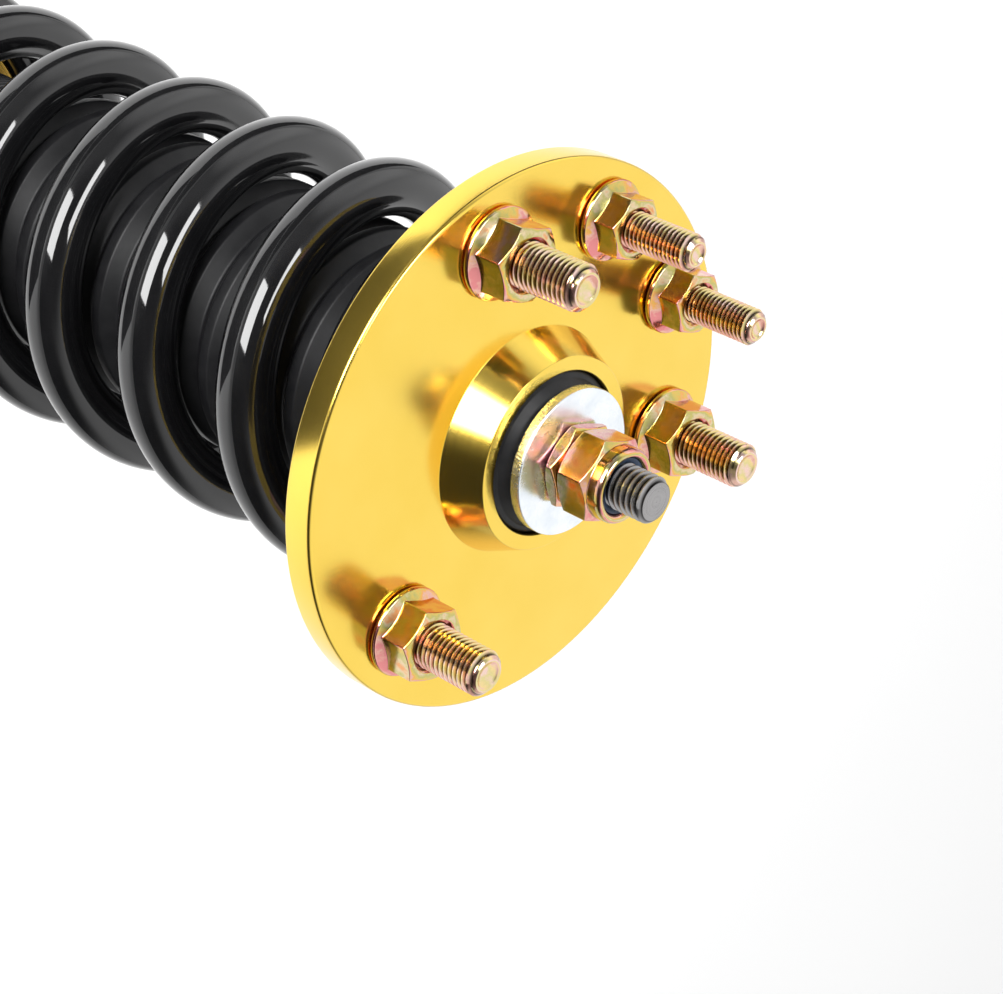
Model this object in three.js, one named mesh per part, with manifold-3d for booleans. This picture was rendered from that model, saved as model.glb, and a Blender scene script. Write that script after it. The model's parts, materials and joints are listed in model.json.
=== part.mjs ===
// Height-adjustable coilover for the front axle of a passenger car.
// Millimetres, +Z up the damper axis. The origin is the centre of the face of the top plate
// that meets the car's strut tower. The damper is shown at full droop.
import * as THREE from 'three';
import { mergeVertices } from 'three/addons/utils/BufferGeometryUtils.js';
import Module from 'manifold-3d';

const wasm = await Module();
wasm.setup();

// ---- driving dimensions ----------------------------------------------------------------------

const GAP = 0.3;                 // clearance between neighbouring faces
const FIT = 0.2;                 // radial clearance of a part on a shaft

const PLATE = { radius: 60, thick: 7, bevel: 0.8, footRadius: 24.7, topRadius: 21, topZ: 8.6 };
const BUSH = { bore: 17.8, lipRadius: 14.6, lipThick: 2, bottomZ: -6.6, stepZ: -4.8, topZ: 10.6 };
const REGISTER = { inner: 27.5, outer: 31.2, depth: 9 };

const M10 = { thread: 4.95, head: 7, flange: 9.8, acrossFlats: 15, height: 9 };
const M8 = { thread: 3.95, head: 5.6, flange: 8.7, acrossFlats: 12.5, height: 8 };
const STUD = { topZ: 23.9, headThick: 2.5, chamfer: 1 };
const LARGE_STUDS = { circle: 46.2, angles: [0, 120, 240] };
const SMALL_STUDS = { circle: 48, angles: [40.6, 79.4] };

const ROD = { radius: 6.25, thread: 5, endZ: 35.8, shoulderZ: -12.4, pistonZ: -194, lowZ: -221 };
const ROD_NUT = { acrossFlats: 17, jamThick: 3, hexTop: 24.6, collar: 8.1, collarTop: 28, pocket: 6.8 };
const INSERT = { radius: 6.6, bottomZ: 25, topZ: 27.2 };
const WASHER = { radius: 15.9, bottomZ: 11, topZ: 13.5, lowRadius: 13.9, lowThick: 3 };
const SLEEVE = { radius: 8, bottomZ: -9.2 };

const SPRING = { wire: 6.25, mean: 38, length: 200, topZ: -10.9 };
const COIL = { turns: 7.8, closedTurns: 0.98, closedPitch: 12.5, tipAngle: 90.5 };
const ISOLATOR = { inner: 31.7, outer: 44, thick: 3.5, topZ: -7.1 };
const FACE_GAP = 0.1;            // clearance between an isolator or washer and what it lies on

const BODY = { thread: 25.5, inner: 23.2, topZ: -150, bottomZ: -345, lipRadius: 18 };
const PRESSURE_TUBE = { outer: 22.9, inner: 20, topZ: -158, bottomZ: -340.7 };
const PERCH = { outer: 42.8, thick: 6.4, hub: 31.2, hubHeight: 11 };
const PERCH_LOCK = { outer: 41.6, thick: 5 };
const TUBE_LOCK = { outer: 35, thick: 7.5, topZ: -274.3 };
const NOTCH = { count: 8, widthAngle: 17.5, depth: 3.2 };
const TUBE = { outer: 29.8, inner: 25.8, bottomZ: -470, floor: 9, edge: 10 };

const RETAINER = { radius: 26.8, bottomZ: -15.6, topZ: -12.5 };
const BUMP_STOP = { radius: 16.5, topZ: -15.8, bottomZ: -58 };
const BOOT = { topZ: -17, bottomZ: -157, valley: 27.2, crest: 30.4, wall: 0.9, folds: 5, cuff: 8 };

const GLAND = { bore: 10, bottomZ: -157.7, shoulderZ: -149.8, topZ: -144, chamfer: 1.2 };
const WIPER = { radius: 9.8, bottomZ: -150, topZ: -144.6 };
const OIL_SEAL = { radius: 19.7, bottomZ: -164, topZ: -158.2 };
const GUIDE = { radius: 19.8, bottomZ: -184, topZ: -164.3 };
const REBOUND_STOP = { radius: 14, bottomZ: -192, topZ: -184.4 };
const UPPER_DISCS = { radius: 15, bottomZ: -195.6, topZ: -194.2 };
const PISTON = { radius: 19.4, bottomZ: -211, topZ: -195.8, groove: [-208, -199], grooveDepth: 1.2 };
const LOWER_DISCS = { radius: 16, bottomZ: -212.6, topZ: -211.2 };
const PISTON_NUT = { acrossFlats: 16, bottomZ: -219.4, topZ: -212.8 };
const GAS_PISTON = { radius: 19.5, bottomZ: -316, topZ: -302, groove: [-311, -307], grooveDepth: 1.6 };
const END_PLUG = { bottomZ: -340, topZ: -329, groove: [-336.5, -333.5], grooveDepth: 1.4 };
const GAS_VALVE = { radius: 2.6, bottomZ: -340.2, topZ: -331.4, clearance: 0.3 };
const SEALED_RADIUS = 19.85;     // outer radius of the bands that run in the pressure tube

const ROUND = 32;                // segments round a large part
const MEDIUM_ROUND = 28;         // segments round a piston or its band
const VALVE_ROUND = 20;          // segments round the gas valve
const SMALL_ROUND = 16;          // segments round a small part
const PLATE_ROUND = 48;          // segments round the top plate

// ---- derived positions -----------------------------------------------------------------------

const springBottomZ = SPRING.topZ - SPRING.length;
const perchTopZ = springBottomZ - ISOLATOR.thick - 2 * FACE_GAP;
const perchLockTopZ = perchTopZ - PERCH.thick - GAP;
const tubeTopZ = TUBE_LOCK.topZ - TUBE_LOCK.thick - GAP;
const jamBottomZ = WASHER.topZ + GAP / 2;
const lockNutBottomZ = jamBottomZ + ROD_NUT.jamThick + GAP;

// ---- materials -------------------------------------------------------------------------------

const finish = (color, roughness, metalness) =>
  () => new THREE.MeshStandardMaterial({ color, roughness, metalness });
const gold = finish(0xe8bb4a, 0.28, 1);
const yellowZinc = finish(0xc9a86a, 0.3, 1);
const coppery = finish(0xb98a74, 0.35, 1);
const brightZinc = finish(0xd9e2e6, 0.25, 1);
const steel = finish(0x9a9a9a, 0.35, 1);
const chrome = finish(0xdddddd, 0.08, 1);
const glossBlack = finish(0x101010, 0.2, 0);
const satinBlack = finish(0x1c1c1e, 0.45, 0.4);
const blackRubber = finish(0x161616, 0.85, 0);
const blueNylon = finish(0x1d2b45, 0.5, 0);
const yellowFoam = finish(0xd8c45a, 0.9, 0);

// ---- shape helpers ---------------------------------------------------------------------------

/** Solid of revolution about Z. The outline runs counter-clockwise in (radius, z). */
function turned(outline, segments = ROUND) {
  const points = outline.map(([r, z]) => new THREE.Vector2(r, z));
  if (outline[0][0] > 0) points.push(points[0].clone());
  return new THREE.LatheGeometry(points, segments).rotateX(Math.PI / 2);
}

/** Plain ring between two radii and two heights. */
const ring = (inner, outer, bottomZ, topZ, segments = ROUND) =>
  turned([[inner, bottomZ], [outer, bottomZ], [outer, topZ], [inner, topZ]], segments);

/** Ring with its four edges bevelled. */
function bevelledRing(inner, outer, bottomZ, topZ, bevel, segments = ROUND) {
  return turned([
    [inner, bottomZ + bevel], [inner + bevel, bottomZ],
    [outer - bevel, bottomZ], [outer, bottomZ + bevel],
    [outer, topZ - bevel], [outer - bevel, topZ],
    [inner + bevel, topZ], [inner, topZ - bevel],
  ], segments);
}

/** Hexagonal prism with corners at 0, 60, 120 ... degrees. */
function hexagon(acrossFlats, bottomZ, topZ) {
  const corner = acrossFlats / Math.sqrt(3);
  const shape = new THREE.Shape();
  for (let i = 0; i < 6; i += 1) {
    const angle = (i * Math.PI) / 3;
    shape[i ? 'lineTo' : 'moveTo'](corner * Math.cos(angle), corner * Math.sin(angle));
  }
  const geometry = new THREE.ExtrudeGeometry(shape, { depth: topZ - bottomZ, bevelEnabled: false });
  return geometry.translate(0, 0, bottomZ);
}

/** Closed THREE geometry to a manifold solid. */
function toSolid(geometry) {
  const bare = geometry.clone();
  bare.deleteAttribute('normal');
  bare.deleteAttribute('uv');
  const merged = mergeVertices(bare, 1e-4);
  return new wasm.Manifold(new wasm.Mesh({
    numProp: 3,
    vertProperties: new Float32Array(merged.attributes.position.array),
    triVerts: new Uint32Array(merged.index.array),
  }));
}

/** Manifold solid back to a THREE geometry. */
function toGeometry(solid) {
  const mesh = solid.getMesh();
  const geometry = new THREE.BufferGeometry();
  geometry.setAttribute('position', new THREE.BufferAttribute(new Float32Array(mesh.vertProperties), 3));
  geometry.setIndex(new THREE.BufferAttribute(new Uint32Array(mesh.triVerts), 1));
  geometry.computeVertexNormals();
  return geometry;
}

const cut = (geometry, tools) =>
  toGeometry(tools.reduce((solid, tool) => solid.subtract(toSolid(tool)), toSolid(geometry)));
const common = (a, b) => toGeometry(toSolid(a).intersect(toSolid(b)));
const join = (a, b) => toGeometry(toSolid(a).add(toSolid(b)));

/** The blocks that cut the spanner notches into the rim of a collar. */
function notches(outer, bottomZ, topZ) {
  const floorRadius = outer - NOTCH.depth;
  const halfWidth = floorRadius * Math.sin(THREE.MathUtils.degToRad(NOTCH.widthAngle / 2));
  const reach = NOTCH.depth + 4;
  return Array.from({ length: NOTCH.count }, (_, i) => {
    const block = new THREE.BoxGeometry(reach, 2 * halfWidth, topZ - bottomZ + 2);
    block.translate(floorRadius + reach / 2, 0, (topZ + bottomZ) / 2);
    return block.rotateZ(((i + 0.5) * 2 * Math.PI) / NOTCH.count);
  });
}

// ---- top mount -------------------------------------------------------------------------------

const studPlaces = [
  ...LARGE_STUDS.angles.map((angle) => ({ angle, circle: LARGE_STUDS.circle, size: M10 })),
  ...SMALL_STUDS.angles.map((angle) => ({ angle, circle: SMALL_STUDS.circle, size: M8 })),
].map(({ angle, circle, size }) => {
  const turn = THREE.MathUtils.degToRad(angle);
  return { x: circle * Math.cos(turn), y: circle * Math.sin(turn), size };
});

function topPlate() {
  const under = -PLATE.thick;
  const skirt = under - REGISTER.depth;
  const disc = turned([
    [BUSH.lipRadius, under], [REGISTER.inner, under], [REGISTER.inner, skirt],
    [REGISTER.outer - 1, skirt], [REGISTER.outer, skirt + 1], [REGISTER.outer, under],
    [PLATE.radius - 0.6, under], [PLATE.radius, under + 0.6],
    [PLATE.radius, -PLATE.bevel], [PLATE.radius - PLATE.bevel, 0],
    [PLATE.footRadius, 0], [PLATE.topRadius, PLATE.topZ],
    [BUSH.bore + 0.4, PLATE.topZ], [BUSH.bore, PLATE.topZ - 0.4],
    [BUSH.bore, under + BUSH.lipThick], [BUSH.lipRadius, under + BUSH.lipThick],
  ], PLATE_ROUND);
  const holes = studPlaces.map(({ x, y, size }) => turned([
    [0, under - 1], [size.head + FIT, under - 1], [size.head + FIT, under + STUD.headThick + FIT],
    [size.thread + FIT, under + STUD.headThick + FIT], [size.thread + FIT, 1], [0, 1],
  ], SMALL_ROUND).translate(x, y, 0));
  return cut(disc, holes);
}

function stud(size) {
  const under = -PLATE.thick;
  return turned([
    [0, under], [size.head, under], [size.head, under + STUD.headThick],
    [size.thread, under + STUD.headThick], [size.thread, STUD.topZ - STUD.chamfer],
    [size.thread - STUD.chamfer, STUD.topZ], [0, STUD.topZ],
  ], SMALL_ROUND);
}

/** Hexagon nut on a round flange that widens downwards. */
function flangeNut(size) {
  const corner = size.acrossFlats / Math.sqrt(3);
  const outside = turned([
    [0, 0.1], [corner + 2, 0.1], [corner + 2, size.height - 3],
    [size.acrossFlats / 2 - 0.2, size.height], [0, size.height],
  ], SMALL_ROUND);
  const hex = common(outside, hexagon(size.acrossFlats, 0, size.height + 1));
  const flange = turned([
    [0, 0.1], [size.flange, 0.1], [size.flange, 1.3], [corner - 0.6, 3], [0, 3],
  ], SMALL_ROUND);
  const bore = turned([
    [0, -1], [size.thread + FIT, -1], [size.thread + FIT, size.height + 1], [0, size.height + 1],
  ], SMALL_ROUND);
  return cut(join(hex, flange), [bore]);
}

function mountBush() {
  const inner = SLEEVE.radius + FIT;
  const outer = BUSH.bore - FIT;
  const { bottomZ, stepZ, topZ } = BUSH;
  return turned([
    [inner, bottomZ], [BUSH.lipRadius - FIT, bottomZ], [BUSH.lipRadius - FIT, stepZ], [outer, stepZ],
    [outer, topZ - 3.2], [outer - 4, topZ], [inner, topZ],
  ]);
}

// ---- rod and what is clamped to it -----------------------------------------------------------

const pistonRod = () => turned([
  [0, ROD.lowZ], [ROD.thread, ROD.lowZ], [ROD.thread, ROD.pistonZ], [ROD.radius, ROD.pistonZ],
  [ROD.radius, ROD.shoulderZ], [ROD.thread, ROD.shoulderZ],
  [ROD.thread, ROD.endZ - 0.7], [ROD.thread - 0.7, ROD.endZ], [0, ROD.endZ],
], SMALL_ROUND);

/** Plain hexagon nut with both faces chamfered. */
function hexNut(acrossFlats, bottomZ, topZ, bore) {
  const corner = acrossFlats / Math.sqrt(3);
  const face = acrossFlats / 2 - 0.2;
  const slope = (corner - face) * Math.tan(Math.PI / 6);
  const outside = turned([
    [0, bottomZ], [face, bottomZ], [corner + 0.1, bottomZ + slope], [corner + 0.1, topZ - slope],
    [face, topZ], [0, topZ],
  ], SMALL_ROUND);
  const hole = turned([[0, bottomZ - 1], [bore, bottomZ - 1], [bore, topZ + 1], [0, topZ + 1]], SMALL_ROUND);
  return cut(common(outside, hexagon(acrossFlats, bottomZ - 1, topZ + 1)), [hole]);
}

/** Hexagon nut with a round collar that holds a nylon ring. */
function lockNut() {
  const corner = ROD_NUT.acrossFlats / Math.sqrt(3);
  const outside = turned([
    [0, lockNutBottomZ], [ROD_NUT.acrossFlats / 2 - 0.2, lockNutBottomZ], [corner, lockNutBottomZ + 0.9],
    [corner, ROD_NUT.hexTop - 1.4], [ROD_NUT.collar, ROD_NUT.hexTop], [0, ROD_NUT.hexTop],
  ], SMALL_ROUND);
  const hex = common(outside, hexagon(ROD_NUT.acrossFlats, lockNutBottomZ - 1, ROD_NUT.hexTop + 1));
  const collar = turned([
    [0, ROD_NUT.hexTop - 1], [ROD_NUT.collar, ROD_NUT.hexTop - 1], [ROD_NUT.collar, ROD_NUT.collarTop - 1],
    [ROD_NUT.collar - 1, ROD_NUT.collarTop], [0, ROD_NUT.collarTop],
  ], SMALL_ROUND);
  const bore = turned([
    [0, 0], [ROD.thread + FIT, 0], [ROD.thread + FIT, INSERT.bottomZ - FIT],
    [ROD_NUT.pocket, INSERT.bottomZ - FIT], [ROD_NUT.pocket, INSERT.topZ + FIT],
    [ROD_NUT.pocket - 0.4, ROD_NUT.collarTop + 1], [0, ROD_NUT.collarTop + 1],
  ], SMALL_ROUND);
  return cut(join(hex, collar), [bore]);
}

function bumpStop() {
  const inner = ROD.radius + FIT;
  const { radius, topZ, bottomZ } = BUMP_STOP;
  const third = (topZ - bottomZ) / 3;
  return turned([
    [inner, bottomZ], [radius - 5, bottomZ], [radius - 3, bottomZ + third - 2],
    [radius - 5.5, bottomZ + third], [radius - 1.5, bottomZ + third + 2], [radius - 1.5, topZ - third - 2],
    [radius - 5, topZ - third], [radius, topZ - third + 2], [radius, topZ], [inner, topZ],
  ], SMALL_ROUND);
}

/** Bellows from the retainer under the top mount down to a cuff round the damper body. */
function dustBoot() {
  const { topZ, bottomZ, valley, crest, wall, folds, cuff } = BOOT;
  const fold = (topZ - bottomZ - 2 * cuff) / folds;
  const outer = [[valley, bottomZ], [valley, bottomZ + cuff]];
  for (let i = 0; i < folds; i += 1) {
    const start = bottomZ + cuff + i * fold;
    outer.push([crest, start + fold * 0.3], [crest, start + fold * 0.6], [valley, start + fold * 0.9]);
  }
  outer.push([valley, topZ]);
  const inner = outer.map(([r, z]) => [r - wall + 0.2, z]).reverse();
  return turned([...outer, ...inner], 16);
}

/** Disc with a groove round its rim for a band or ring. */
function grooved(inner, outer, { bottomZ, topZ, groove, grooveDepth }) {
  const [low, high] = groove;
  return turned([
    [inner, bottomZ], [outer, bottomZ], [outer, low], [outer - grooveDepth, low],
    [outer - grooveDepth, high], [outer, high], [outer, topZ], [inner, topZ],
  ], MEDIUM_ROUND);
}

/** Band that fills a piston's groove with a small clearance. */
function band({ radius, groove, grooveDepth }) {
  const [low, high] = groove;
  return ring(radius - grooveDepth + FIT, SEALED_RADIUS, low + FIT, high - FIT, MEDIUM_ROUND);
}

// ---- spring ----------------------------------------------------------------------------------

/** Right-hand coil: closed turns at both ends, evenly open turns between them. */
class CoilCurve extends THREE.Curve {
  getPoint(t, target = new THREE.Vector3()) {
    const turn = t * COIL.turns;
    const angle = THREE.MathUtils.degToRad(COIL.tipAngle) - turn * 2 * Math.PI;
    return target.set(SPRING.mean * Math.cos(angle), SPRING.mean * Math.sin(angle), coilHeight(turn));
  }
}

/** Height of the wire's centre after so many turns from the top tip, ground to a quarter of the wire. */
function coilHeight(turn) {
  const { turns, closedTurns, closedPitch } = COIL;
  const groundAway = SPRING.wire / 2;
  const drop = SPRING.length + 2 * groundAway;
  const extraPitch = (drop - turns * closedPitch) / (turns - 2 * closedTurns);
  const openTurns = THREE.MathUtils.clamp(turn - closedTurns, 0, turns - 2 * closedTurns);
  return SPRING.topZ + groundAway - turn * closedPitch - openTurns * extraPitch;
}

/** The coil with both ends ground flat at the spring's length. */
function coil() {
  const { wire, mean, topZ } = SPRING;
  const section = new THREE.Shape();
  const sides = 8;
  for (let i = 0; i < sides; i += 1) {
    const angle = ((i + 0.5) * 2 * Math.PI) / sides;
    section[i ? 'lineTo' : 'moveTo'](wire * Math.cos(angle), wire * Math.sin(angle));
  }
  const options = { steps: Math.round(COIL.turns * 16), extrudePath: new CoilCurve(), bevelEnabled: false };
  const reach = 3 * wire;
  const above = ring(mean - reach, mean + reach, topZ, topZ + reach);
  const below = ring(mean - reach, mean + reach, springBottomZ - reach, springBottomZ);
  return cut(new THREE.ExtrudeGeometry(section, options), [above, below]);
}

// ---- damper body -----------------------------------------------------------------------------

const threadedBody = () => turned([
  [BODY.lipRadius, BODY.bottomZ], [BODY.thread - 1, BODY.bottomZ], [BODY.thread, BODY.bottomZ + 1],
  [BODY.thread, BODY.topZ - 1], [BODY.thread - 1, BODY.topZ], [BODY.inner, BODY.topZ],
  [BODY.inner, BODY.bottomZ + 4], [BODY.lipRadius, BODY.bottomZ + 4],
]);

function glandCap() {
  const { bore, bottomZ, shoulderZ, topZ, chamfer } = GLAND;
  const rim = BODY.thread - GAP;
  return turned([
    [bore, bottomZ], [BODY.inner - FIT, bottomZ], [BODY.inner - FIT, shoulderZ], [rim, shoulderZ],
    [rim, topZ - chamfer], [rim - chamfer, topZ], [bore, topZ],
  ]);
}

function endPlug() {
  const hole = GAS_VALVE.radius + GAS_VALVE.clearance;
  const low = END_PLUG.bottomZ - 1;
  const high = GAS_VALVE.topZ + GAS_VALVE.clearance;
  const valveHole = turned([[0, low], [hole, low], [hole, high], [0, high]], VALVE_ROUND);
  return cut(grooved(0, PRESSURE_TUBE.inner - FIT, END_PLUG), [valveHole]);
}

// ---- collars and lower tube ------------------------------------------------------------------

function perchCollar() {
  const bottomZ = perchTopZ - PERCH.thick;
  const hubTop = perchTopZ + PERCH.hubHeight;
  const inner = BODY.thread + GAP;
  const blank = turned([
    [inner, bottomZ], [PERCH.outer - 0.6, bottomZ], [PERCH.outer, bottomZ + 0.6],
    [PERCH.outer, perchTopZ - 0.6], [PERCH.outer - 0.6, perchTopZ], [PERCH.hub, perchTopZ],
    [PERCH.hub, hubTop - 1], [PERCH.hub - 1, hubTop], [inner, hubTop],
  ]);
  return cut(blank, notches(PERCH.outer, bottomZ, perchTopZ));
}

function notchedRing(outer, topZ, thick) {
  const bottomZ = topZ - thick;
  const blank = bevelledRing(BODY.thread + GAP, outer, bottomZ, topZ, 0.5);
  return cut(blank, notches(outer, bottomZ, topZ));
}

function lowerTube() {
  const { outer, inner, bottomZ, floor, edge } = TUBE;
  const corner = [];
  for (let i = 0; i <= 4; i += 1) {
    const angle = -Math.PI / 2 + (i * Math.PI) / 8;
    corner.push([outer - edge + edge * Math.cos(angle), bottomZ + edge + edge * Math.sin(angle)]);
  }
  return turned([
    [0, bottomZ], ...corner, [outer, tubeTopZ - 0.8], [outer - 0.8, tubeTopZ],
    [inner + 0.5, tubeTopZ], [inner, tubeTopZ - 0.5], [inner, bottomZ + floor], [0, bottomZ + floor],
  ]);
}

// ---- assembly --------------------------------------------------------------------------------

const coilover = new THREE.Group();

function add(name, geometry, material, parent = coilover) {
  const mesh = new THREE.Mesh(geometry, material());
  mesh.name = name;
  parent.add(mesh);
  return mesh;
}

const bearing = ROD.radius + 0.1;     // bore of the parts that slide on the rod
const clamped = ROD.thread + FIT;     // bore of the parts clamped on the rod's ends

add('top_plate', topPlate(), gold);
studPlaces.forEach(({ x, y, size }, i) => {
  const place = new THREE.Group();
  place.position.set(x, y, 0);
  coilover.add(place);
  add(`stud_${i + 1}`, stud(size), coppery, place);
  add(`flange_nut_${i + 1}`, flangeNut(size), yellowZinc, place);
});
add('mount_bush', mountBush(), blackRubber);
add('upper_isolator',
  ring(ISOLATOR.inner, ISOLATOR.outer, ISOLATOR.topZ - ISOLATOR.thick, ISOLATOR.topZ), blackRubber);
add('spring', coil(), glossBlack);

/** Ring of that size with the given bore; a bevel turns its four edges off. */
function sized(bore, { radius, bottomZ, topZ }, bevel = 0, segments = SMALL_ROUND) {
  if (bevel) return bevelledRing(bore, radius, bottomZ, topZ, bevel, segments);
  return ring(bore, radius, bottomZ, topZ, segments);
}

const washerTop = SLEEVE.bottomZ - FACE_GAP;
const lowWasher = { radius: WASHER.lowRadius, bottomZ: washerTop - WASHER.lowThick, topZ: washerTop };
const jamTopZ = jamBottomZ + ROD_NUT.jamThick;
add('piston_rod', pistonRod(), chrome);
add('bush_sleeve', sized(clamped, { ...SLEEVE, topZ: WASHER.bottomZ - FACE_GAP }), steel);
add('centre_washer', sized(clamped, WASHER, 0.3, ROUND), brightZinc);
add('lower_washer', sized(clamped, lowWasher, 0.4), steel);
add('jam_nut', hexNut(ROD_NUT.acrossFlats, jamBottomZ, jamTopZ, clamped), yellowZinc);
add('lock_nut', lockNut(), yellowZinc);
add('lock_nut_insert', sized(ROD.thread + 0.1, INSERT), blueNylon);
add('boot_retainer', sized(bearing, RETAINER, 0.5), satinBlack);
add('dust_boot', dustBoot(), blackRubber);
add('bump_stop', bumpStop(), yellowFoam);
add('rebound_stop', sized(bearing, REBOUND_STOP, 1), yellowFoam);
add('upper_valve_discs', sized(clamped, UPPER_DISCS), steel);
add('piston', grooved(clamped, PISTON.radius, PISTON), steel);
add('piston_band', band(PISTON), blackRubber);
add('lower_valve_discs', sized(clamped, LOWER_DISCS), steel);
add('piston_nut', hexNut(PISTON_NUT.acrossFlats, PISTON_NUT.bottomZ, PISTON_NUT.topZ, clamped), steel);

add('threaded_body', threadedBody(), satinBlack);
add('pressure_tube',
  ring(PRESSURE_TUBE.inner, PRESSURE_TUBE.outer, PRESSURE_TUBE.bottomZ, PRESSURE_TUBE.topZ), steel);
add('gland_cap', glandCap(), satinBlack);
add('rod_wiper', sized(bearing, WIPER), blackRubber);
add('oil_seal', sized(bearing, OIL_SEAL, 0, MEDIUM_ROUND), blackRubber);
add('rod_guide', sized(bearing, GUIDE, 0.6, MEDIUM_ROUND), steel);
add('end_plug', endPlug(), steel);
add('gas_valve', turned([
  [0, GAS_VALVE.bottomZ], [GAS_VALVE.radius, GAS_VALVE.bottomZ],
  [GAS_VALVE.radius, GAS_VALVE.topZ], [0, GAS_VALVE.topZ],
], VALVE_ROUND), yellowZinc);

add('floating_piston', grooved(0, GAS_PISTON.radius, GAS_PISTON), steel);
add('floating_piston_ring', band(GAS_PISTON), blackRubber);

add('lower_isolator',
  ring(ISOLATOR.inner, ISOLATOR.outer - GAP, perchTopZ + FACE_GAP, springBottomZ - FACE_GAP), blackRubber);
add('perch_collar', perchCollar(), gold);
add('perch_lock_ring', notchedRing(PERCH_LOCK.outer, perchLockTopZ, PERCH_LOCK.thick), gold);
add('tube_lock_ring', notchedRing(TUBE_LOCK.outer, TUBE_LOCK.topZ, TUBE_LOCK.thick), gold);
add('lower_tube', lowerTube(), satinBlack);

export default coilover;
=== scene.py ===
"""A height-adjustable coilover in its finished look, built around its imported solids.

Metres in Blender, millimetres in the shape functions. +Z runs up the damper's axis, and the origin
is the centre of the top plate's upper face. Outlines are (radius, z) points, and a third number
rounds that corner by that radius.
"""

import json
import math

import bmesh
import bpy
from mathutils import Euler, Matrix, Vector


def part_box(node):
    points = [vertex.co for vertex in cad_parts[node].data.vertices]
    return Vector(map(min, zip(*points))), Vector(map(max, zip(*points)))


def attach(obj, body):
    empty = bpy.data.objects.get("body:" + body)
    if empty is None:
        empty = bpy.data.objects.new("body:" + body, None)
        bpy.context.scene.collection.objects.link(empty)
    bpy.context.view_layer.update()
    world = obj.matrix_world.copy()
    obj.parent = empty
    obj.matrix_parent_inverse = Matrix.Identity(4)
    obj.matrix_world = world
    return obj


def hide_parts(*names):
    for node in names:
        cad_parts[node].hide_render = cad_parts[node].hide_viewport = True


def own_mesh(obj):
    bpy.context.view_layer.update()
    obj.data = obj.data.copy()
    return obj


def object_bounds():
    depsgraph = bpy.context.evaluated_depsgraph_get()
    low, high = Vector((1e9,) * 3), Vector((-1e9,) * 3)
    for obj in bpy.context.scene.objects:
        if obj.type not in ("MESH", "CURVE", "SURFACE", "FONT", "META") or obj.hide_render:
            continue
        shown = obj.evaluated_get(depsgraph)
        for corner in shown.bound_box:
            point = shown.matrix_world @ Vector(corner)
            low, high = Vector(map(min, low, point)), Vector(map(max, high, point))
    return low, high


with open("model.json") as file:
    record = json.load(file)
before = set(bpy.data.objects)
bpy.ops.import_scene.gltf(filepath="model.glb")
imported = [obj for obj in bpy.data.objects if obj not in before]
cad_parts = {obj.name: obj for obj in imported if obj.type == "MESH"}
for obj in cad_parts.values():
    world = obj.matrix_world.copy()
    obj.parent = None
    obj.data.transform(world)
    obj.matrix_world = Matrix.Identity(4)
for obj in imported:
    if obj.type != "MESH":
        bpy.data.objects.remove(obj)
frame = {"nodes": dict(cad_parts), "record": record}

CAD_BOX = [list(corner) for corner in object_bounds()]
MM = 0.001
TURN = 2 * math.pi

# ---- camera, floor and light -------------------------------------------------------------------

CAMERA_PLACE = (-447.1, 150.1, 347.2)      # millimetres
CAMERA_AZIMUTH = -20.1                     # degrees, of the direction it looks in
CAMERA_ELEVATION = -36.26
CAMERA_ROLL = 116.43
CAMERA_LENS = 102.7
FLOOR_DROP = 30                            # from the lower tube's end, clear of the tube at its longest
FLOOR_SIDE = 12.0                          # metres
FLOOR_BRIGHTNESS = 0.95
CARD_LIFT = 2                              # from the floor to the dark cards that lie on it

# ---- sizes that the solids leave to the finished pieces ------------------------------------------

ROUND = 160              # segments round a large turned piece
SMALL_ROUND = 72         # segments round a small one
M10_PITCH = 1.25
M8_PITCH = 1.1
ROD_PITCH = 1.5
BODY_PITCH = 2.0
THREAD_DEPTH = 0.6       # depth of a thread over its pitch
STUD_HEAD = 2.5          # thickness of a stud's head
STUD_ROOT = -4.2         # where its thread starts, inside the plate
NUT_EDGE = 0.45          # rounding of a nut's upright corners
NUT_CHAMFER = 0.58       # height that a nut's corner loses for each millimetre past its flats
NOTCH_DEPTH = 3.2        # of the collars' spanner notches
COLLAR_BORE = 25.8


class Size:
    """Radius, heights and centre of an upright round node, in millimetres."""

    def __init__(self, node):
        low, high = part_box(node)
        self.radius = (high.y - low.y) / 2 / MM
        self.low = low.z / MM
        self.high = high.z / MM
        self.x = (high.x + low.x) / 2 / MM
        self.y = (high.y + low.y) / 2 / MM


# ---- mesh making ---------------------------------------------------------------------------------


def rounded(points, closed):
    """The outline with each corner that has a third number turned into an arc of that radius."""
    count = len(points)
    outline = []
    for i, point in enumerate(points):
        here = Vector(point[:2])
        radius = point[2] if len(point) > 2 else 0
        if not radius or (not closed and i in (0, count - 1)):
            outline.append(tuple(here))
            continue
        before = Vector(points[i - 1][:2]) - here
        after = Vector(points[(i + 1) % count][:2]) - here
        half = before.angle(after) / 2
        reach = min(radius / math.tan(half), 0.48 * before.length, 0.48 * after.length)
        radius = reach * math.tan(half)
        centre = here + (before.normalized() + after.normalized()).normalized() * (radius / math.sin(half))
        start = here + before.normalized() * reach - centre
        sweep = (math.pi - 2 * half) * (1 if before.cross(after) < 0 else -1)
        steps = max(2, round(abs(sweep) / math.radians(12)))
        for step in range(steps + 1):
            outline.append(tuple(centre + Matrix.Rotation(sweep * step / steps, 2) @ start))
    return outline


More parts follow.
